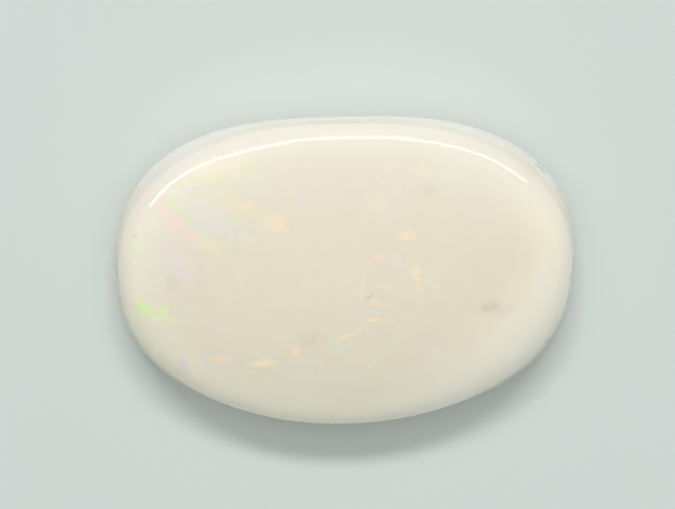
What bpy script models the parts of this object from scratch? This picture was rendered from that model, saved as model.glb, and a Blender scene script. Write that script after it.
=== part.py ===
"""A polished white opal: an oval, low-domed cabochon with a leaning wall and a flat ground back.

Metres, +Z up. X runs along the stone's length and Y across it, and the back lies on Z = 0 with the
origin under the middle of the oval. The stone is one piece of opal, so it is one solid: a round blank
is turned from its profile and then drawn out to the stone's own outline.
"""

import math

import bmesh
import bpy
from mathutils import Vector

# Overall size
LENGTH = 0.0160
WIDTH = 0.0109
THICKNESS = 0.0030

# Outline: a superellipse, a little fuller at two opposite corners and flatter along +Y. From the girdle
# to the top of the wall it grows rounder, so the face is more of an ellipse than the girdle.
GIRDLE_EXPONENT = 2.50
FACE_EXPONENT = 2.15
WALL_TOP = 0.0021
CORNER_FULLNESS = 0.011
FLAT_SIDE = 0.013

# Profile across the width, as the round blank has it
FACE_RADIUS = 0.00450
FACE_CROWN = 0.00055
WALL_LEAN = math.radians(8.0)
SHOULDER_DROP = 0.00036
GIRDLE_HEIGHT = 0.00085
GIRDLE_ROUNDING = 0.00030
BACK_RADIUS = 0.00490

# Fineness of the facets
AROUND = 96
FACE_STEPS = 8
SHOULDER_STEPS = 8
GIRDLE_STEPS = 6
RIM_SAMPLES = 8
ON_AXIS = 1e-6

OPAL_CREAM = (0.80, 0.745, 0.62, 1.0)
POLISH_ROUGHNESS = 0.08
OPAL_IOR = 1.45


def clear_scene():
    """Remove whatever the open file holds."""
    for obj in list(bpy.data.objects):
        bpy.data.objects.remove(obj)


def opal_material():
    """Creamy white opal under a glassy polish."""
    material = bpy.data.materials.new("white opal")
    material.use_nodes = True
    shader = material.node_tree.nodes["Principled BSDF"]
    shader.inputs["Base Color"].default_value = OPAL_CREAM
    shader.inputs["Roughness"].default_value = POLISH_ROUGHNESS
    shader.inputs["IOR"].default_value = OPAL_IOR
    shader.inputs["Metallic"].default_value = 0.0
    return material


def blend(first, corner, last, steps):
    """Curve round a corner, from a point on one of its lines to a point on the other."""
    points = []
    for step in range(steps + 1):
        gone = step / steps
        points.append(first * (1.0 - gone)**2 + corner * 2.0 * gone * (1.0 - gone) + last * gone**2)
    return points


def toward(corner, other, reach):
    """Point at a reach from a corner, on the line to another point."""
    return corner + (other - corner).normalized() * reach


def face_points():
    """The domed face, from its middle to just before its edge."""
    points = []
    for step in range(FACE_STEPS):
        share = step / FACE_STEPS
        points.append(Vector((share * FACE_RADIUS, THICKNESS - FACE_CROWN * share**2)))
    return points


def shoulder_corner(face_edge, girdle):
    """Where the face's last tangent would meet the leaning wall."""
    face_slope = -2.0 * FACE_CROWN / FACE_RADIUS
    wall_slope = -1.0 / math.tan(WALL_LEAN)
    drop = face_edge.y - girdle.y - wall_slope * (face_edge.x - girdle.x)
    run = drop / (wall_slope - face_slope)
    return face_edge + Vector((run, run * face_slope))


def profile():
    """(radius, height) from the top of the dome, over shoulder and girdle, to the middle of the back."""
    radius = 0.5 * WIDTH
    face_edge = Vector((FACE_RADIUS, THICKNESS - FACE_CROWN))
    girdle = Vector((radius, GIRDLE_HEIGHT))
    shoulder = shoulder_corner(face_edge, girdle)
    back_edge = Vector((BACK_RADIUS, 0.0))
    points = face_points()
    # The shoulder leaves the face gently and turns down sharply into the wall.
    points += blend(face_edge, shoulder, toward(shoulder, girdle, SHOULDER_DROP), SHOULDER_STEPS)
    wall_foot = toward(girdle, shoulder, GIRDLE_ROUNDING)
    points += blend(wall_foot, girdle, toward(girdle, back_edge, GIRDLE_ROUNDING), GIRDLE_STEPS)
    # Rounding took a little off the girdle, so the widest ring is brought back to full width.
    widest = max(point.x for point in points)
    points = [Vector((point.x * radius / widest, point.y)) for point in points]
    return points + [back_edge, Vector((0.0, 0.0))]


def exponent(height):
    """How square the stone is at a height."""
    rounded = (height - GIRDLE_HEIGHT) / (WALL_TOP - GIRDLE_HEIGHT)
    return GIRDLE_EXPONENT + (FACE_EXPONENT - GIRDLE_EXPONENT) * min(1.0, max(0.0, rounded))


def outline(angle, height):
    """Point, at an angle, of the outline that a ring at this height is a share of, before it is fitted."""
    power = exponent(height)
    across = abs(math.cos(angle) / LENGTH) ** power
    along = abs(math.sin(angle) / WIDTH) ** power
    radius = 0.5 * (across + along) ** (-1.0 / power)
    radius *= 1.0 + CORNER_FULLNESS * math.sin(2.0 * angle) + FLAT_SIDE * math.sin(3.0 * angle)
    return radius * math.cos(angle), radius * math.sin(angle)


def turned_blank(collection):
    """A round stone as wide as the opal, turned from the profile."""
    points = [(point.x, 0.0, point.y) for point in profile()]
    mesh = bpy.data.meshes.new("blank")
    mesh.from_pydata(points, [(i, i + 1) for i in range(len(points) - 1)], [])
    blank = bpy.data.objects.new("blank", mesh)
    collection.objects.link(blank)
    screw = blank.modifiers.new("turn", "SCREW")
    screw.steps = AROUND
    screw.render_steps = AROUND
    screw.use_merge_vertices = True
    screw.merge_threshold = ON_AXIS
    return blank


def draw_out(mesh):
    """Carry each ring of the round blank out to the oval outline, then size and centre the stone."""
    steps = range(RIM_SAMPLES * AROUND)
    rim = [outline(2.0 * math.pi * step / len(steps), GIRDLE_HEIGHT) for step in steps]
    low = [min(point[axis] for point in rim) for axis in (0, 1)]
    high = [max(point[axis] for point in rim) for axis in (0, 1)]
    for vertex in mesh.vertices:
        share = math.hypot(vertex.co.x, vertex.co.y) / (0.5 * WIDTH)
        # Equal steps of a stretched angle keep the facets even along the oval.
        angle = math.atan2(WIDTH * vertex.co.y, LENGTH * vertex.co.x)
        x, y = outline(angle, vertex.co.z)
        vertex.co.x = share * (x - 0.5 * (low[0] + high[0])) * LENGTH / (high[0] - low[0])
        vertex.co.y = share * (y - 0.5 * (low[1] + high[1])) * WIDTH / (high[1] - low[1])


def make_opal(collection):
    """The stone itself, one closed solid."""
    blank = turned_blank(collection)
    graph = bpy.context.evaluated_depsgraph_get()
    mesh = bpy.data.meshes.new_from_object(blank.evaluated_get(graph))
    bpy.data.objects.remove(blank)
    draw_out(mesh)
    shape = bmesh.new()
    shape.from_mesh(mesh)
    bmesh.ops.recalc_face_normals(shape, faces=shape.faces)
    shape.to_mesh(mesh)
    shape.free()
    mesh.shade_smooth()
    mesh.set_sharp_from_angle(angle=math.radians(30.0))
    mesh.materials.append(opal_material())
    opal = bpy.data.objects.new("opal", mesh)
    collection.objects.link(opal)
    return opal


def main():
    clear_scene()
    collection = bpy.data.collections.new("Opal cabochon")
    bpy.context.scene.collection.children.link(collection)
    make_opal(collection)


main()
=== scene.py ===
import math

import bpy
from mathutils import Matrix, Vector, noise


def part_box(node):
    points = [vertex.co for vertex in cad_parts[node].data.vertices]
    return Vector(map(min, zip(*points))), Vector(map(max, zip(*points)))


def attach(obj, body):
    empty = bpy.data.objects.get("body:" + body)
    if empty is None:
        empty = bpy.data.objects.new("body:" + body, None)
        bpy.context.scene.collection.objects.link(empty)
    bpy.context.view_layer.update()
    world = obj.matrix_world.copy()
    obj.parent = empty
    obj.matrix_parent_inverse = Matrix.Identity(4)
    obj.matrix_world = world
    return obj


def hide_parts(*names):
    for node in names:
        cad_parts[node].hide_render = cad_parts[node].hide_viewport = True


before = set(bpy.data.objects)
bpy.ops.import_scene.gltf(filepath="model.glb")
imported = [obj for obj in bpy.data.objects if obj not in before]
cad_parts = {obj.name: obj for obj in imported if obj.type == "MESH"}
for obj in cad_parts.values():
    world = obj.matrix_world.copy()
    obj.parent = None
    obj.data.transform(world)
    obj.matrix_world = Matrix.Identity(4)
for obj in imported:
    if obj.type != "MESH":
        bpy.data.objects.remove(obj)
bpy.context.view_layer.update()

# The stone's box comes from the frame. The other sizes are the same real sizes as the solid has.
LOW, HIGH = (Vector(corner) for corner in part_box("opal"))
LENGTH, WIDTH, THICKNESS = HIGH - LOW
MM = 0.001

GIRDLE_EXPONENT = 2.50
FACE_EXPONENT = 2.15
WALL_TOP = 2.1 * MM
CORNER_FULLNESS = 0.011
FLAT_SIDE = 0.013

FACE_RADIUS = 4.50 * MM
FACE_CROWN = 0.55 * MM
WALL_LEAN = math.radians(8.0)
SHOULDER_DROP = 0.36 * MM
GIRDLE_HEIGHT = 0.85 * MM
GIRDLE_ROUNDING = 0.30 * MM
BACK_RADIUS = 4.90 * MM

# Fineness of the surface
AROUND = 600
FACE_STEPS = 46
SHOULDER_STEPS = 30
WALL_STEPS = 12
GIRDLE_STEPS = 16
BEVEL_STEPS = 10
BACK_STEPS = 14
RIM_SAMPLES = 4
SHARP_ANGLE = math.radians(30.0)

# Hand polish leaves the surface very slightly wavy: depth, distance between waves, and the share of the
# way out where they begin to turn from lowering the face to drawing in the wall
POLISH_WAVE_DEPTH = 0.007 * MM
POLISH_WAVE_LENGTH = 2.2 * MM
POLISH_WAVE_TURN = 0.8

# Chips in the rim: direction in degrees, height, length along the rim, height of the chip, depth
CHIPS = [
    (28.5, 1.00 * MM, 0.50 * MM, 0.34 * MM, 0.05 * MM),
    (-18.8, 1.05 * MM, 0.42 * MM, 0.40 * MM, 0.12 * MM),
    (197.8, 1.05 * MM, 0.24 * MM, 0.24 * MM, 0.08 * MM),
    (224.0, 1.00 * MM, 0.22 * MM, 0.24 * MM, 0.07 * MM),
]
CHIP_GRAIN = 0.12 * MM
CHIP_RAGGED = 0.18

# The picture: its size in pixels, the stone's outline in it, and the view
PHOTO_WIDE, PHOTO_HIGH = 675.0, 509.0
STONE_WIDE = 456.0
STONE_MIDDLE = (345.2, 269.2)
VIEW_TILT = math.radians(12.0)
LENS, SENSOR = 100.0, 36.0
NEAREST, FURTHEST = 0.001, 10.0
PIXEL = LENGTH / STONE_WIDE

# The lamps, sizes in metres and directions in degrees. A straight strip beyond the stone lights it, and a
# curved row of dim panels shows only as its reflection in the polish. The panels' rises and levels run
# from the right end of the row to its left end.
STRIP_TURN, STRIP_RISE = 90.0, 45.0
STRIP_SIZE = (0.30, 0.068)
STRIP_POWER = 1.60
PANEL_ENDS = (34.0, 161.0)
PANEL_RISES = (38.0, 42.0, 48.0, 51.0, 51.5, 56.0, 50.0, 44.0, 44.0)
PANELS = 13
PANEL_TALL = 0.062
PANEL_LEVELS = (7.2, 6.8, 6.0, 5.2, 4.8, 4.8, 5.0, 5.6, 6.4)
LAMP_FAR = 0.50

# The room's light: its colour, the way it is brightest, where along that way it brightens, and levels
ROOM_COLOUR = (0.93, 1.0, 0.97, 1.0)
ROOM_BRIGHT_WAY = (0.0, 0.22, 0.975)
ROOM_SPREAD = (0.50, 1.00)
ROOM_DIM, ROOM_BRIGHT = 0.28, 1.24

# The floor: how far it reaches (metres), the two colours of its mottle, features a millimetre, roughness
FLOOR_REACH = 1.5
FLOOR_COLOURS = ((0.570, 0.609, 0.590, 1.0), (0.587, 0.618, 0.605, 1.0))
FLOOR_MOTTLE = 0.08
FLOOR_ROUGHNESS = 0.6


def blend(first, corner, last, steps):
    """Curve round a corner, from a point on one of its lines to a point on the other."""
    points = []
    for step in range(steps + 1):
        gone = step / steps
        points.append(first * (1.0 - gone)**2 + corner * 2.0 * gone * (1.0 - gone) + last * gone**2)
    return points


def straight(first, last, steps):
    """Points between two points, without either of them."""
    return [first.lerp(last, step / steps) for step in range(1, steps)]


def toward(corner, other, reach):
    """Point at a reach from a corner, on the line to another point."""
    return corner + (other - corner).normalized() * reach


def shoulder_corner(face_edge, girdle):
    """Where the face's last tangent would meet the leaning wall."""
    face_slope = -2.0 * FACE_CROWN / FACE_RADIUS
    wall_slope = -1.0 / math.tan(WALL_LEAN)
    drop = face_edge.y - girdle.y - wall_slope * (face_edge.x - girdle.x)
    run = drop / (wall_slope - face_slope)
    return face_edge + Vector((run, run * face_slope))


def profile():
    """(radius, height) from just off the top of the dome to just off the middle of the back."""
    radius = 0.5 * WIDTH
    face_edge = Vector((FACE_RADIUS, THICKNESS - FACE_CROWN))
    girdle = Vector((radius, GIRDLE_HEIGHT))
    back_edge = Vector((BACK_RADIUS, 0.0))
    shoulder = shoulder_corner(face_edge, girdle)
    points = []
    for step in range(1, FACE_STEPS):
        share = step / FACE_STEPS
        points.append(Vector((share * FACE_RADIUS, THICKNESS - FACE_CROWN * share**2)))
    wall_top = toward(shoulder, girdle, SHOULDER_DROP)
    wall_foot = toward(girdle, shoulder, GIRDLE_ROUNDING)
    bevel_top = toward(girdle, back_edge, GIRDLE_ROUNDING)
    points += blend(face_edge, shoulder, wall_top, SHOULDER_STEPS)
    points += straight(wall_top, wall_foot, WALL_STEPS)
    points += blend(wall_foot, girdle, bevel_top, GIRDLE_STEPS)
    widest = max(point.x for point in points)
    points = [Vector((point.x * radius / widest, point.y)) for point in points]
    points += straight(points[-1], back_edge, BEVEL_STEPS) + [back_edge]
    points += straight(back_edge, Vector((0.0, 0.0)), BACK_STEPS)
    return points


def exponent(height):
    """How square the stone is at a height."""
    rounded = (height - GIRDLE_HEIGHT) / (WALL_TOP - GIRDLE_HEIGHT)
    return GIRDLE_EXPONENT + (FACE_EXPONENT - GIRDLE_EXPONENT) * min(1.0, max(0.0, rounded))


def outline(angle, height):
    """Point, at an angle, of the outline that a ring at a height is a share of, not yet fitted to the box."""
    power = exponent(height)
    across = abs(math.cos(angle) / LENGTH) ** power
    along = abs(math.sin(angle) / WIDTH) ** power
    radius = 0.5 * (across + along) ** (-1.0 / power)
    radius *= 1.0 + CORNER_FULLNESS * math.sin(2.0 * angle) + FLAT_SIDE * math.sin(3.0 * angle)
    return Vector((radius * math.cos(angle), radius * math.sin(angle)))


def girdle_box():
    """Middle and extent of the girdle's outline before it is sized."""
    steps = RIM_SAMPLES * AROUND
    fine = [outline(math.tau * step / steps, GIRDLE_HEIGHT) for step in range(steps)]
    low = Vector((min(point.x for point in fine), min(point.y for point in fine)))
    high = Vector((max(point.x for point in fine), max(point.y for point in fine)))
    return 0.5 * (low + high), high - low


def ring_points(ring, middle, extent):
    """A ring's points at even steps of a stretched angle, sized and centred on the frame's box."""
    share = ring.x / (0.5 * WIDTH)
    points = []
    for step in range(AROUND):
        even = math.tau * step / AROUND
        point = outline(math.atan2(WIDTH * math.sin(even), LENGTH * math.cos(even)), ring.y) - middle
        points.append(Vector((point.x * LENGTH / extent.x, point.y * WIDTH / extent.y)) * share)
    return points


def polish_wave(point):
    """How far hand polish has lowered the surface at a point, never less than nothing."""
    lift = noise.noise(Vector(point) / POLISH_WAVE_LENGTH)
    return POLISH_WAVE_DEPTH * (0.5 + 0.5 * lift)


def chip_depth(point):
    """How deep a chip goes at a point of the rim, and nothing away from the chips."""
    for degrees, height, length, tall, depth in CHIPS:
        turn = math.radians(degrees)
        along = Vector((-math.sin(turn), math.cos(turn)))
        beside = Vector((point.x, point.y)).dot(along)
        facing = Vector((point.x, point.y)).dot(Vector((math.cos(turn), math.sin(turn))))
        ragged = CHIP_RAGGED * noise.noise(Vector(point) / CHIP_GRAIN)
        reach = math.hypot(beside / (0.5 * length), (point.z - height) / (0.5 * tall)) + ragged
        if facing > 0.0 and reach < 1.0:
            return depth * math.sqrt(1.0 - reach)
    return 0.0


def stone_mesh():
    """The stone's surface, ring by ring, with the polish's waves and the chips taken off it."""
    rings = profile()
    middle, extent = girdle_box()
    centre = 0.5 * (LOW + HIGH)
    vertices = [Vector((centre.x, centre.y, LOW.z + THICKNESS))]
    for ring in rings:
        share = ring.x / (0.5 * WIDTH)
        for around in ring_points(ring, middle, extent):
            point = Vector((around.x, around.y, ring.y))
            outward = around.normalized()
            cut = chip_depth(point)
            wave = polish_wave(point) if ring.y > GIRDLE_HEIGHT else 0.0
            level = min(1.0, max(0.0, (share - POLISH_WAVE_TURN) / (1.0 - POLISH_WAVE_TURN)))
            point.x -= outward.x * (cut + wave * level)
            point.y -= outward.y * (cut + wave * level)
            point.z -= wave * (1.0 - level)
            vertices.append(point + Vector((centre.x, centre.y, LOW.z)))
    vertices.append(Vector((centre.x, centre.y, LOW.z)))
    faces = [(0, 1 + step, 1 + (step + 1) % AROUND) for step in range(AROUND)]
    for ring in range(len(rings) - 1):
        inner, outer = 1 + ring * AROUND, 1 + (ring + 1) * AROUND
        for step in range(AROUND):
            beyond = (step + 1) % AROUND
            faces.append((inner + step, outer + step, outer + beyond, inner + beyond))
    last, bottom = 1 + (len(rings) - 1) * AROUND, len(vertices) - 1
    faces += [(bottom, last + (step + 1) % AROUND, last + step) for step in range(AROUND)]
    mesh = bpy.data.meshes.new("opal_surface")
    mesh.from_pydata(vertices, [], faces)
    mesh.validate()
    mesh.shade_smooth()
    mesh.set_sharp_from_angle(angle=SHARP_ANGLE)
    return mesh


# Colours as they show in the light of this scene, on the usual scale of 0 to 255
CREAM = (230, 223, 202)
WARM_CREAM = (227, 217, 194)
MILK = (235, 230, 218)
# Painted reflection and light: the far wall painted whiter
FAR_WALL_PAINTED_LIGHT = (255, 249, 232)
# Partly the stone's own paler tone, partly painted light on the shaded near right rim
PALE_AND_PAINTED_LIGHT = (255, 238, 217)
# Painted light: a paler, bluer tone on the far side, which faces the lamp
FAR_FACE_PAINTED_LIGHT = (232, 226, 210)
# Painted light: a warm pale tone that lifts the shaded near rim and ends
NEAR_RIM_PAINTED_LIGHT = (251, 234, 208)
CORAL = (246, 224, 207)
PEACH = (249, 233, 210)
ORANGE = (255, 235, 199)
AMBER = (247, 229, 198)
YELLOW = (239, 232, 194)
LIME = (226, 232, 195)
GREEN = (224, 255, 174)
TEAL = (224, 230, 212)
SKY = (228, 229, 218)
LAVENDER = (234, 224, 218)
ROSE = (242, 222, 204)
RED = (255, 225, 199)
TAN = (219, 208, 186)
BROWN = (206, 193, 168)
# Dark of the hair crack, and painted shade in two of the rim's chips
SOOT_AND_CHIP_SHADE = (186, 174, 152)
# Painted shade in the chips of the rim
CHIP_SHADE = (120, 108, 86)
WHITE = (255, 255, 255)

# Share of the light falling on the face that comes back from a perfectly white stone: red, green, blue
FACE_LIGHT = (1.030, 1.098, 1.068)

# Painted light and shade across the face: how much paler the near side of the stone is painted than its
# middle, and how much darker the far side
PAINTED_LIGHT_SLOPE = 0.05

# The pale near right corner of the stone, partly its own paler tone and partly painted light on its shaded
# rim: the way it lies, where along that way it pales (millimetres), strength
PALE_AND_PAINTED_LIGHT_WAY = (0.70, -0.714, 0.0)
PALE_AND_PAINTED_LIGHT_SPREAD = (3.2, 6.2)
PALE_AND_PAINTED_LIGHT_STRENGTH = 0.90

# Where the body's painted light tints, its colour play and its rim marks begin and end, in millimetres across
# the stone (FAR_SIDE) or above its back
FAR_SIDE = (1.5, 3.6)
FAR_FACE_PAINTED_LIGHT_STRENGTH = 0.8
FAR_SHOULDER_PAINTED_LIGHT_TOP = (2.20, 2.52)
FAR_WALL_PAINTED_LIGHT_TOP = (1.20, 1.75)
NEAR_RIM_PAINTED_LIGHT_TOP = (2.28, 2.60)
FACE_RISE = (1.0, 1.9)
BEVEL_TOP = (0.60, 0.75)

# The body's warm swells and its milky curdled grain: features a millimetre, the levels of the noise
# between which they come in, strength
SWELL_SCALE, SWELL_ONSET, SWELL_STRENGTH = 0.22, (0.42, 0.68), 0.22
CURDLE_SCALE, CURDLE_ONSET, CURDLE_STRENGTH = 1.1, (0.45, 0.75), 0.22

# How far flashes and marks are rippled (millimetres), and features of the ripple a millimetre
FLASH_RIPPLE = (0.16, 1.6)
MARK_RIPPLE = (0.05, 4.0)

# Polish, the rubbed bevel and the ground back: roughness, and where each begins and ends above the back
SMEAR_SCALE, SMEAR_ONSET = 0.6, (0.3, 0.8)
POLISH_ROUGHNESS = (0.032, 0.058)
RUBBED_ROUGHNESS, RUBBED_TOP = 0.30, (0.45, 0.85)
GROUND_ROUGHNESS, GROUND_TOP = 0.22, (0.01, 0.06)
RELIEF_TOP = (0.02, 0.30)
RELIEF_STRENGTH, RELIEF_DEPTH = 0.30, 0.02 * MM
GRIND_TURN, GRIND_STRETCH, GRIND_SCALE = math.radians(24.0), 14.0, 1.6
PEEL_SCALE, PEEL_DEPTH = 2.4, 0.10

# How the opal bends light, and how far red, green and blue light travel inside it
OPAL_IOR = 1.45
SCATTER_SHARES = (1.0, 0.95, 0.88)
SCATTER_REACH = 5.0 * MM


def paint(colour):
    """Base colour that shows as a given colour on the lit face."""
    linear = []
    for level, light in zip(colour, FACE_LIGHT):
        level = level / 255.0
        level = level / 12.92 if level <= 0.04045 else ((level + 0.055) / 1.055) ** 2.4
        linear.append(min(1.0, level / light))
    return (*linear, 1.0)


# Flashes of colour inside the face, set out in millimetres from the middle of the stone, +Y up in the
# picture: colour, x, y, length, width, turn in degrees, softness of the edge, strength
BROAD, SOFT, CRISP = 0.9, 0.60, 0.40
FLASH_GRAIN_SCALE, FLASH_GRAIN_MIDDLE, FLASH_GRAIN_DEPTH = 3.2, 0.42, 2.1
FLASHES = [
    (MILK, -6.2, 2.5, 4.4, 3.0, 25, BROAD, 0.55),
    (LAVENDER, -6.1, 0.6, 2.6, 1.8, 70, BROAD, 0.40),
    (ROSE, -3.9, -1.2, 4.8, 2.6, 10, BROAD, 0.22),
    (PEACH, -4.35, 3.85, 2.3, 0.80, 12, SOFT, 0.75),
    (YELLOW, -4.75, 3.42, 2.0, 0.36, 8, SOFT, 0.60),
    (LIME, -3.30, 3.85, 1.0, 0.7, 0, BROAD, 0.45),
    (GREEN, -5.86, 3.03, 0.46, 0.40, 0, SOFT, 0.30),
    (CORAL, -6.40, 2.75, 0.9, 0.8, 0, SOFT, 0.70),
    (CORAL, -5.95, 2.15, 2.5, 0.78, -38, SOFT, 0.80),
    (CORAL, -5.05, 1.45, 1.3, 0.55, -42, SOFT, 0.75),
    (LIME, -5.62, 2.40, 1.5, 0.34, -36, CRISP, 0.75),
    (LIME, -4.95, 1.72, 1.3, 0.30, -52, SOFT, 0.70),
    (YELLOW, -4.60, 1.25, 1.1, 0.42, -32, SOFT, 0.80),
    (YELLOW, -4.05, 2.65, 2.0, 1.0, -20, SOFT, 0.42),
    (AMBER, -3.40, 2.55, 0.9, 0.40, -24, SOFT, 0.50),
    (SKY, -4.35, 1.95, 1.8, 1.2, -20, BROAD, 0.80),
    (LIME, -3.55, 2.25, 0.9, 0.6, 10, SOFT, 0.45),
    (ORANGE, -2.43, 2.02, 0.85, 0.62, 0, SOFT, 0.42),
    (AMBER, -2.45, 1.85, 0.9, 0.30, 5, SOFT, 0.30),
    (AMBER, -3.35, 1.45, 0.5, 0.4, 0, SOFT, 0.30),
    (GREEN, -7.17, 1.04, 0.52, 0.52, 0, SOFT, 0.28),
    (LAVENDER, -5.60, 0.30, 1.2, 0.7, -50, SOFT, 0.45),
    (TEAL, -6.25, 0.28, 0.6, 0.4, 0, SOFT, 0.55),
    (LIME, -6.30, -0.10, 0.9, 0.6, 20, SOFT, 0.30),
    (GREEN, -6.95, -1.08, 0.72, 0.60, -22, SOFT, 0.72),
    (GREEN, -6.66, -1.28, 0.70, 0.30, -30, SOFT, 0.45),
    (GREEN, -6.28, -1.10, 0.52, 0.40, 0, SOFT, 0.48),
    (GREEN, -5.98, -1.42, 0.70, 0.26, -18, SOFT, 0.32),
    (CORAL, -7.05, -2.35, 0.55, 0.22, -40, SOFT, 0.45),
    (LAVENDER, -5.60, -3.02, 0.50, 0.62, 0, SOFT, 0.75),
    (LIME, -5.66, -3.40, 0.62, 0.30, 10, SOFT, 0.45),
    (RED, -4.28, -2.80, 0.82, 0.34, 8, CRISP, 0.85),
    (ROSE, -4.20, -2.98, 0.6, 0.20, 14, SOFT, 0.45),
    (ORANGE, -2.82, -2.93, 0.88, 0.32, 6, CRISP, 1.00),
    (AMBER, -3.25, -3.28, 0.70, 0.18, 4, SOFT, 0.55),
    (LIME, -2.45, -3.12, 0.34, 0.22, 20, CRISP, 0.60),
    (LIME, -3.05, -3.45, 1.4, 0.18, 3, SOFT, 0.35),
    (TEAL, -2.70, -2.68, 0.9, 0.12, 5, SOFT, 0.45),
    (RED, -1.72, -2.50, 0.36, 0.60, -14, CRISP, 0.62),
    (ROSE, -1.95, -2.62, 0.36, 0.18, 0, SOFT, 0.40),
    (LIME, -1.38, -2.80, 0.34, 0.42, 20, SOFT, 0.45),
    (YELLOW, -2.45, -2.05, 0.30, 0.30, 0, SOFT, 0.35),
    (TEAL, -0.22, -2.32, 0.62, 0.44, 0, SOFT, 0.80),
    (ORANGE, -0.02, -1.92, 0.62, 0.18, 30, CRISP, 0.55),
    (LAVENDER, 0.10, -1.62, 0.60, 0.24, 20, SOFT, 0.50),
    (YELLOW, 0.36, -1.74, 0.56, 0.18, 38, CRISP, 0.60),
    (ORANGE, 0.94, -1.33, 0.62, 0.16, 2, CRISP, 0.60),
    (SKY, 0.85, -1.02, 1.05, 0.18, -8, CRISP, 0.75),
    (AMBER, 1.10, -0.74, 0.72, 0.24, -22, SOFT, 0.55),
    (CORAL, 0.57, -0.20, 0.30, 0.70, -6, SOFT, 0.55),
    (CORAL, 1.38, -0.12, 0.80, 0.34, -8, SOFT, 0.40),
    (LAVENDER, 1.78, 0.66, 0.50, 0.36, -40, CRISP, 0.85),
    (ROSE, 2.15, 0.48, 0.90, 0.22, -28, CRISP, 0.65),
    (ORANGE, 2.42, 0.36, 0.42, 0.40, 0, SOFT, 0.45),
    (AMBER, 2.45, 0.00, 0.26, 0.80, 4, SOFT, 0.45),
    (CORAL, 1.18, 0.80, 0.52, 0.34, -28, CRISP, 0.75),
    (LIME, 1.50, 0.78, 0.24, 0.20, 0, CRISP, 0.40),
    (AMBER, 2.13, 1.63, 0.80, 0.30, 4, CRISP, 0.75),
    (PEACH, 1.07, 2.73, 0.86, 0.66, 0, SOFT, 0.35),
    (CORAL, 1.78, 3.16, 0.32, 0.56, 12, CRISP, 0.55),
    (YELLOW, 3.04, -0.15, 0.52, 0.10, 0, CRISP, 0.60),
    (YELLOW, 2.72, 0.05, 0.24, 0.30, 30, CRISP, 0.40),
    (LIME, 1.65, -2.10, 0.34, 0.30, 0, SOFT, 0.60),
    (YELLOW, 0.92, -2.85, 0.9, 0.6, 30, BROAD, 0.30),
    (YELLOW, 2.70, 3.72, 0.86, 0.42, 0, SOFT, 0.40),
    (MILK, 3.25, 3.80, 0.9, 0.6, 0, BROAD, 0.40),
    (TAN, 5.05, -0.94, 1.05, 0.62, 0, BROAD, 0.50),
    (BROWN, 4.98, -0.94, 0.56, 0.30, 6, BROAD, 0.50),
    (TAN, -1.22, -2.02, 0.85, 0.56, 8, BROAD, 0.42),
    (TAN, -5.93, -0.12, 0.42, 0.60, 0, BROAD, 0.42),
    (TAN, 2.82, 3.12, 0.50, 0.40, 0, BROAD, 0.42),
]

# Where the fine sparks are thick, in the same way: a curved seam across the middle and along the near
# left side, and thinner at the far left. SPARKS_ELSEWHERE is their share away from it.
SEAM = [
    (WHITE, 1.9, 1.6, 1.7, 3.6, 8, BROAD, 1.0),
    (WHITE, 1.5, -0.6, 2.4, 2.4, 0, BROAD, 1.0),
    (WHITE, -0.4, -2.1, 3.0, 1.5, 35, BROAD, 1.0),
    (WHITE, -3.4, -2.9, 4.6, 1.1, 5, BROAD, 1.0),
    (WHITE, -5.4, 1.9, 3.2, 3.2, 0, BROAD, 0.5),
]
SPARKS_ELSEWHERE = 0.12

# The sparks: their hues, and for each size the cells a millimetre, share left out and strength
SPARK_COLOURS = [CORAL, AMBER, YELLOW, LIME, TEAL, SKY, LAVENDER, PEACH]
SPARKS = [(3.4, 0.86, 0.42), (6.5, 0.90, 0.40)]
SPARK_ONSET = 0.04
SPARK_CORE = (0.25, 0.60)

# Marks in the surface itself, in the same way: a hair crack, a small curved nick and two specks
MARKS = [
    (SOOT_AND_CHIP_SHADE, 0.82, -0.47, 0.42, 0.045, 42, CRISP, 0.46),
    (SOOT_AND_CHIP_SHADE, 0.66, -0.62, 0.14, 0.040, 34, CRISP, 0.30),
    (BROWN, -3.78, -0.66, 0.20, 0.045, 0, SOFT, 0.34),
    (BROWN, -3.66, -0.72, 0.16, 0.050, -62, SOFT, 0.36),
    (BROWN, -3.60, -0.84, 0.16, 0.050, -88, SOFT, 0.36),
    (BROWN, 2.77, 4.78, 0.10, 0.07, 0, SOFT, 0.50),
    (BROWN, -7.20, 1.45, 0.16, 0.12, 0, SOFT, 0.30),
]

# Painted shade in the chips of the rim, and where the rim is stained beside them
RIM_STAIN_AND_CHIP_SHADE = [
    (TAN, 6.10, 3.95, 1.20, 0.36, -38, BROAD, 0.35),
    (CHIP_SHADE, 6.75, 3.63, 0.60, 0.050, -44, SOFT, 0.45),
    (CHIP_SHADE, 7.06, -2.42, 0.34, 0.070, 58, SOFT, 0.70),
    (SOOT_AND_CHIP_SHADE, -7.30, -2.32, 0.18, 0.070, -65, SOFT, 0.70),
    (SOOT_AND_CHIP_SHADE, -4.57, -4.40, 0.18, 0.050, -20, SOFT, 0.30),
]


def put(tree, kind, inputs=None, **settings):
    """Add a node with its settings, and set or link its inputs by name or number."""
    made = tree.nodes.new(kind)
    for name, value in settings.items():
        setattr(made, name, value)
    for name, value in (inputs or {}).items():
        if isinstance(value, bpy.types.NodeSocket):
            tree.links.new(value, made.inputs[name])
        else:
            made.inputs[name].default_value = value
    return made


def map_range(tree, value, low, high, start=0.0, end=1.0):
    """A value eased from one level to another between two bounds."""
    return put(tree, "ShaderNodeMapRange", {0: value, 1: low, 2: high, 3: start, 4: end},
               interpolation_type="SMOOTHSTEP").outputs[0]


def mixed(tree, share, under, over):
    """One colour laid over another by a share."""
    return put(tree, "ShaderNodeMix", {0: share, 6: under, 7: over}, data_type="RGBA").outputs[2]


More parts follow.
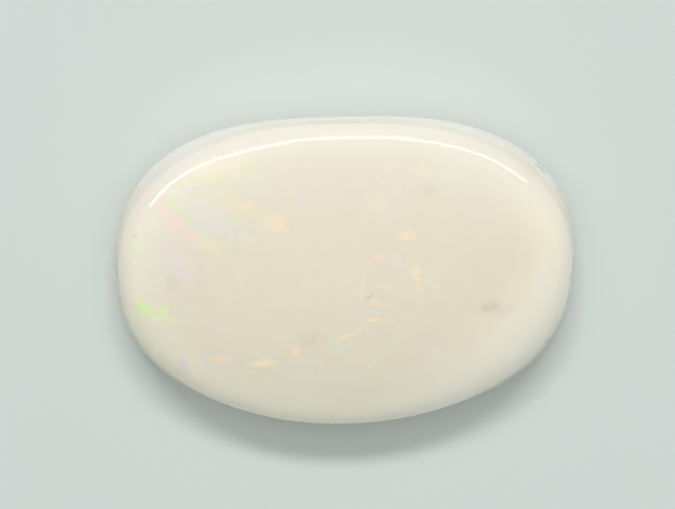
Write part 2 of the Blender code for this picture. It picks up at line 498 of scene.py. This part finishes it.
def maths(tree, operation, first, second=0.0):
    """One step of arithmetic on two numbers."""
    return put(tree, "ShaderNodeMath", {0: first, 1: second}, operation=operation).outputs[0]


def noise_of(tree, place, scale, detail=2.0, roughness=0.5, distortion=0.0):
    """A noise texture over a place, with its scale in features a millimetre."""
    inputs = {"Vector": place, "Scale": scale, "Detail": detail, "Roughness": roughness,
              "Distortion": distortion}
    return put(tree, "ShaderNodeTexNoise", inputs)


def flash_group():
    """Node group that lays one soft-edged oval of colour over what is under it."""
    group = bpy.data.node_groups.new("flash", "ShaderNodeTree")
    sockets = [("Under", "NodeSocketColor"), ("Place", "NodeSocketVector"), ("Colour", "NodeSocketColor"),
               ("Centre", "NodeSocketVector"), ("Size", "NodeSocketVector"), ("Turn", "NodeSocketFloat"),
               ("Edge", "NodeSocketFloat"), ("Grain", "NodeSocketFloat"), ("Strength", "NodeSocketFloat")]
    for name, kind in sockets:
        group.interface.new_socket(name, in_out="INPUT", socket_type=kind)
    group.interface.new_socket("Colour", in_out="OUTPUT", socket_type="NodeSocketColor")
    given = group.nodes.new("NodeGroupInput").outputs
    apart = put(group, "ShaderNodeVectorMath", {0: given["Place"], 1: given["Centre"]},
                operation="SUBTRACT").outputs[0]
    turned = put(group, "ShaderNodeVectorRotate", {"Vector": apart, "Angle": given["Turn"]},
                 rotation_type="Z_AXIS", invert=True).outputs[0]
    shape = put(group, "ShaderNodeVectorMath", {0: turned, 1: given["Size"]}, operation="DIVIDE").outputs[0]
    far = put(group, "ShaderNodeVectorMath", {0: shape}, operation="LENGTH").outputs["Value"]
    far = maths(group, "ADD", far, given["Grain"])
    inner = maths(group, "SUBTRACT", 1.0, given["Edge"])
    outer = maths(group, "ADD", 1.0, given["Edge"])
    inside = map_range(group, far, inner, outer, 1.0, 0.0)
    share = maths(group, "MULTIPLY", inside, given["Strength"])
    colour = mixed(group, share, given["Under"], given["Colour"])
    put(group, "NodeGroupOutput", {0: colour})
    return group


def lay_flashes(tree, group, under, place, grain, flashes):
    """Lay a list of flashes over a colour, one after another, with edges as ragged as the grain."""
    for colour, x, y, length, width, turn, edge, strength in flashes:
        inputs = {"Under": under, "Place": place, "Colour": paint(colour), "Centre": (x, y, 0.0),
                  "Size": (0.5 * length, 0.5 * width, 1.0), "Turn": math.radians(turn),
                  "Edge": edge, "Grain": grain, "Strength": strength}
        under = put(tree, "ShaderNodeGroup", inputs, node_tree=group).outputs[0]
    return under


def millimetres(tree):
    """Place on the stone in millimetres from the middle of its back."""
    place = put(tree, "ShaderNodeTexCoord").outputs["Object"]
    return put(tree, "ShaderNodeVectorMath", {0: place, "Scale": 1.0 / MM}, operation="SCALE").outputs[0]


def rippled(tree, place, amount, scale):
    """A place shifted a little by noise, so that shapes laid on it have uneven edges."""
    shift = noise_of(tree, place, scale, detail=3.0).outputs["Color"]
    centred = put(tree, "ShaderNodeVectorMath", {0: shift, 1: (0.5, 0.5, 0.5)},
                  operation="SUBTRACT").outputs[0]
    small = put(tree, "ShaderNodeVectorMath", {0: centred, "Scale": amount}, operation="SCALE").outputs[0]
    moved = put(tree, "ShaderNodeVectorMath", {0: place, 1: small}, operation="ADD").outputs[0]
    return put(tree, "ShaderNodeVectorMath", {0: moved, 1: (1.0, 1.0, 0.0)}, operation="MULTIPLY").outputs[0]


def body_colour(tree, place):
    """Cloudy cream body: slow swells of warmer and milkier opal under a finer curdled grain."""
    slow = noise_of(tree, place, SWELL_SCALE, detail=2.0, distortion=0.4).outputs[0]
    fine = noise_of(tree, place, CURDLE_SCALE, detail=4.0, roughness=0.55, distortion=0.6).outputs[0]
    warm = maths(tree, "MULTIPLY", map_range(tree, slow, *SWELL_ONSET), SWELL_STRENGTH)
    milky = maths(tree, "MULTIPLY", map_range(tree, fine, *CURDLE_ONSET), CURDLE_STRENGTH)
    colour = mixed(tree, warm, paint(CREAM), paint(WARM_CREAM))
    return mixed(tree, milky, colour, paint(MILK))


def painted_rim_light_and_pale_corner(tree, body, place, across, height):
    """The body with painted light: a paler, bluer tone on the far side that faces the lamp and on its
    shoulder, a whiter painted reflection on the far wall, warm painted light round the near rim and the ends,
    and the pale near right corner, part its own tone and part painted light.
    """
    far_side = map_range(tree, across, *FAR_SIDE)
    near_side = maths(tree, "SUBTRACT", 1.0, far_side)
    # Painted light on the far side, its shoulder and wall, and round the near rim
    far_painted_light = maths(tree, "MULTIPLY", far_side, FAR_FACE_PAINTED_LIGHT_STRENGTH)
    body = mixed(tree, far_painted_light, body, paint(FAR_FACE_PAINTED_LIGHT))
    for top, side, colour in ((FAR_SHOULDER_PAINTED_LIGHT_TOP, far_side, FAR_FACE_PAINTED_LIGHT), (FAR_WALL_PAINTED_LIGHT_TOP, far_side, FAR_WALL_PAINTED_LIGHT),
                              (NEAR_RIM_PAINTED_LIGHT_TOP, near_side, NEAR_RIM_PAINTED_LIGHT)):
        below = map_range(tree, height, *top, 1.0, 0.0)
        body = mixed(tree, maths(tree, "MULTIPLY", below, side), body, paint(colour))
    # The pale corner, part its own tone and part painted light
    toward_corner = put(tree, "ShaderNodeVectorMath", {0: place, 1: PALE_AND_PAINTED_LIGHT_WAY}, operation="DOT_PRODUCT")
    pale_and_painted_light = map_range(tree, toward_corner.outputs["Value"], *PALE_AND_PAINTED_LIGHT_SPREAD, 0.0, PALE_AND_PAINTED_LIGHT_STRENGTH)
    return mixed(tree, pale_and_painted_light, body, paint(PALE_AND_PAINTED_LIGHT))


def flake_grain(tree, place):
    """How far a flash's edge is drawn in or out at a place: the curdled grain that breaks it up."""
    coarse = noise_of(tree, place, FLASH_GRAIN_SCALE, detail=4.0, roughness=0.65).outputs[0]
    return maths(tree, "MULTIPLY", maths(tree, "SUBTRACT", coarse, FLASH_GRAIN_MIDDLE), FLASH_GRAIN_DEPTH)


def pinfire(tree, under, place, where, cells, hidden, strength):
    """Fine sparks of colour: a few cells of a fine mosaic, each with its own hue, where a mask allows."""
    mosaic = put(tree, "ShaderNodeTexVoronoi", {"Vector": place, "Scale": cells, "Randomness": 1.0},
                 feature="F1", distance="EUCLIDEAN")
    chance = put(tree, "ShaderNodeSeparateColor", {0: mosaic.outputs["Color"]})
    hue = put(tree, "ShaderNodeValToRGB", {0: chance.outputs[1]})
    ramp = hue.color_ramp
    ramp.interpolation = "CONSTANT"
    for number, colour in enumerate(SPARK_COLOURS):
        if number < len(ramp.elements):
            element = ramp.elements[number]
            element.position = number / len(SPARK_COLOURS)
        else:
            element = ramp.elements.new(number / len(SPARK_COLOURS))
        element.color = paint(colour)
    lit = map_range(tree, chance.outputs[0], hidden, hidden + SPARK_ONSET)
    core = map_range(tree, mosaic.outputs["Distance"], *SPARK_CORE, 1.0, 0.0)
    share = maths(tree, "MULTIPLY", maths(tree, "MULTIPLY", lit, core), where)
    return mixed(tree, maths(tree, "MULTIPLY", share, strength), under, hue.outputs[0])


def seam_mask(tree, group, place):
    """How thick the sparks are at a place, from 0 to 1."""
    thin = (SPARKS_ELSEWHERE, SPARKS_ELSEWHERE, SPARKS_ELSEWHERE, 1.0)
    laid = lay_flashes(tree, group, thin, place, 0.0, SEAM)
    return put(tree, "ShaderNodeSeparateColor", {0: laid}).outputs[0]


def opal_colour(tree, place, across, height):
    """The milky body with its painted light, its colour play, its marks, a stain at its rim and painted shade
    in the rim's chips.
    """
    flat_place = rippled(tree, place, *FLASH_RIPPLE)
    crisp_place = rippled(tree, place, *MARK_RIPPLE)
    body = painted_rim_light_and_pale_corner(tree, body_colour(tree, place), place, across, height)
    group = flash_group()
    coloured = lay_flashes(tree, group, body, flat_place, flake_grain(tree, place), FLASHES)
    seam = seam_mask(tree, group, flat_place)
    for cells, hidden, strength in SPARKS:
        coloured = pinfire(tree, coloured, flat_place, seam, cells, hidden, strength)
    on_face = map_range(tree, height, *FACE_RISE)
    colour = mixed(tree, on_face, body, coloured)
    marked = lay_flashes(tree, group, colour, crisp_place, 0.0, MARKS)
    colour = mixed(tree, on_face, colour, marked)
    above_bevel = map_range(tree, height, *BEVEL_TOP)
    # Painted shade in the rim's chips, and a stain beside one of them
    stained_and_shaded = lay_flashes(tree, group, colour, crisp_place, 0.0, RIM_STAIN_AND_CHIP_SHADE)
    colour = mixed(tree, above_bevel, colour, stained_and_shaded)
    # Painted light and shade: the near side painted paler, the far side darker
    painted_light_slope = maths(tree, "MULTIPLY_ADD", across, -PAINTED_LIGHT_SLOPE / (0.5 * WIDTH / MM))
    painted_light_slope.node.inputs[2].default_value = 1.0
    return put(tree, "ShaderNodeVectorMath", {0: colour, "Scale": painted_light_slope}, operation="SCALE").outputs[0]


def finish_roughness(tree, place, height):
    """Polish above, a duller rubbed bevel below the girdle, and a ground flat on the back."""
    smear = noise_of(tree, place, SMEAR_SCALE, detail=3.0).outputs[0]
    polish = map_range(tree, smear, *SMEAR_ONSET, *POLISH_ROUGHNESS)
    rubbed = map_range(tree, height, *RUBBED_TOP, RUBBED_ROUGHNESS, 0.0)
    ground = map_range(tree, height, *GROUND_TOP, GROUND_ROUGHNESS, 0.0)
    return maths(tree, "ADD", maths(tree, "ADD", polish, rubbed), ground)


def finish_relief(tree, place, height):
    """Grinding lines on the back, and a faint unevenness of the polish elsewhere."""
    lines = {"Vector": place, "Rotation": (0.0, 0.0, GRIND_TURN), "Scale": (1.0, GRIND_STRETCH, 1.0)}
    stretched = put(tree, "ShaderNodeMapping", lines).outputs[0]
    grinding = noise_of(tree, stretched, GRIND_SCALE, detail=5.0, roughness=0.7).outputs[0]
    peel = noise_of(tree, place, PEEL_SCALE, detail=2.0).outputs[0]
    peel = maths(tree, "MULTIPLY", peel, PEEL_DEPTH)
    on_back = map_range(tree, height, *RELIEF_TOP, 1.0, 0.0)
    relief = put(tree, "ShaderNodeMix", {0: on_back, 2: peel, 3: grinding}, data_type="FLOAT").outputs[0]
    heights = {"Height": relief, "Strength": RELIEF_STRENGTH, "Distance": RELIEF_DEPTH}
    return put(tree, "ShaderNodeBump", heights).outputs[0]


def opal_material():
    """White opal, polished on its face and wall and ground on its back."""
    material = bpy.data.materials.new("white_opal")
    material.use_nodes = True
    tree = material.node_tree
    shader = tree.nodes["Principled BSDF"]
    place = millimetres(tree)
    across, height = put(tree, "ShaderNodeSeparateXYZ", {0: place}).outputs[1:]
    tree.links.new(opal_colour(tree, place, across, height), shader.inputs["Base Color"])
    tree.links.new(finish_roughness(tree, place, height), shader.inputs["Roughness"])
    tree.links.new(finish_relief(tree, place, height), shader.inputs["Normal"])
    shader.inputs["IOR"].default_value = OPAL_IOR
    shader.inputs["Subsurface Weight"].default_value = 1.0
    shader.inputs["Subsurface Radius"].default_value = SCATTER_SHARES
    shader.inputs["Subsurface Scale"].default_value = SCATTER_REACH
    return material


def make_opal():
    """The stone itself, in the place of its solid."""
    opal = bpy.data.objects.new("opal_stone", stone_mesh())
    bpy.context.scene.collection.objects.link(opal)
    opal.data.materials.append(opal_material())
    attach(opal, "root")
    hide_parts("opal")
    return opal


def make_floor():
    """Plain pale floor, slightly cool, with the faint mottle of matt board."""
    mesh = bpy.data.meshes.new("floor")
    signs = [(-1, -1), (1, -1), (1, 1), (-1, 1)]
    corners = [(x * FLOOR_REACH, y * FLOOR_REACH, LOW.z) for x, y in signs]
    mesh.from_pydata(corners, [], [(0, 1, 2, 3)])
    floor = bpy.data.objects.new("floor", mesh)
    bpy.context.scene.collection.objects.link(floor)
    material = bpy.data.materials.new("pale_board")
    material.use_nodes = True
    tree = material.node_tree
    shader = tree.nodes["Principled BSDF"]
    place = millimetres(tree)
    mottle = noise_of(tree, place, FLOOR_MOTTLE, detail=3.0).outputs[0]
    colour = mixed(tree, mottle, *FLOOR_COLOURS)
    tree.links.new(colour, shader.inputs["Base Color"])
    shader.inputs["Roughness"].default_value = FLOOR_ROUGHNESS
    mesh.materials.append(material)


def toward_lamp(turn, rise):
    """Direction from the stone to a lamp, from its direction round the stone and its rise in degrees."""
    turn, rise = math.radians(turn), math.radians(rise)
    return Vector((math.cos(turn) * math.cos(rise), math.sin(turn) * math.cos(rise), math.sin(rise)))


def area_light(name, away, size, power):
    """A rectangular lamp, level along its width, that faces the stone from a direction."""
    data = bpy.data.lights.new(name, "AREA")
    data.shape = "RECTANGLE"
    data.size, data.size_y = size
    data.energy = power
    lamp = bpy.data.objects.new(name, data)
    lamp.location = Vector((0.0, 0.0, LOW.z + THICKNESS)) + away * LAMP_FAR
    lamp.rotation_mode = "QUATERNION"
    lamp.rotation_quaternion = (-away).to_track_quat("-Z", "Y")
    lamp.visible_camera = False
    bpy.context.scene.collection.objects.link(lamp)
    return lamp


def between(values, share):
    """The value at a share of the way along a row of evenly spaced values."""
    place = share * (len(values) - 1)
    before = min(int(place), len(values) - 2)
    return values[before] + (values[before + 1] - values[before]) * (place - before)


def make_lights():
    """Strip, panels and a pale room that is brighter overhead."""
    strip = area_light("strip", toward_lamp(STRIP_TURN, STRIP_RISE), STRIP_SIZE, STRIP_POWER)
    strip.visible_glossy = False
    first, last = PANEL_ENDS
    step = (last - first) / PANELS
    for number in range(PANELS):
        share = number / (PANELS - 1)
        level = between(PANEL_LEVELS, share)
        rise = between(PANEL_RISES, share)
        wide = LAMP_FAR * math.cos(math.radians(rise)) * math.radians(step)
        away = toward_lamp(first + (number + 0.5) * step, rise)
        power = math.pi * level * wide * PANEL_TALL
        panel = area_light("panel_%d" % number, away, (wide, PANEL_TALL), power)
        panel.visible_diffuse = False
    world = bpy.data.worlds.new("pale_room")
    world.use_nodes = True
    tree = world.node_tree
    seen = put(tree, "ShaderNodeTexCoord").outputs["Generated"]
    height = put(tree, "ShaderNodeVectorMath", {0: seen, 1: ROOM_BRIGHT_WAY}, operation="DOT_PRODUCT")
    level = map_range(tree, height.outputs["Value"], *ROOM_SPREAD, ROOM_DIM, ROOM_BRIGHT)
    background = tree.nodes["Background"]
    background.inputs["Color"].default_value = ROOM_COLOUR
    tree.links.new(level, background.inputs["Strength"])
    bpy.context.scene.world = world


def make_camera():
    """Camera almost straight above, leaning a little past the far side, with +Y up in the picture."""
    data = bpy.data.cameras.new("camera")
    data.lens, data.sensor_width = LENS, SENSOR
    data.clip_start, data.clip_end = NEAREST, FURTHEST
    camera = bpy.data.objects.new("camera", data)
    back = Vector((0.0, math.sin(VIEW_TILT), math.cos(VIEW_TILT)))
    right = Vector((1.0, 0.0, 0.0))
    up = back.cross(right)
    aim = Vector((-(STONE_MIDDLE[0] - 0.5 * PHOTO_WIDE) * PIXEL,
                  (STONE_MIDDLE[1] - 0.5 * PHOTO_HIGH) * PIXEL / math.cos(VIEW_TILT),
                  LOW.z + GIRDLE_HEIGHT))
    camera.location = aim + back * PHOTO_WIDE * PIXEL * LENS / SENSOR
    camera.rotation_mode = "QUATERNION"
    camera.rotation_quaternion = Matrix((right, up, back)).transposed().to_quaternion()
    bpy.context.scene.collection.objects.link(camera)
    bpy.context.scene.camera = camera


make_camera()
make_opal()
make_floor()
make_lights()
bpy.context.scene.view_settings.view_transform = "Standard"
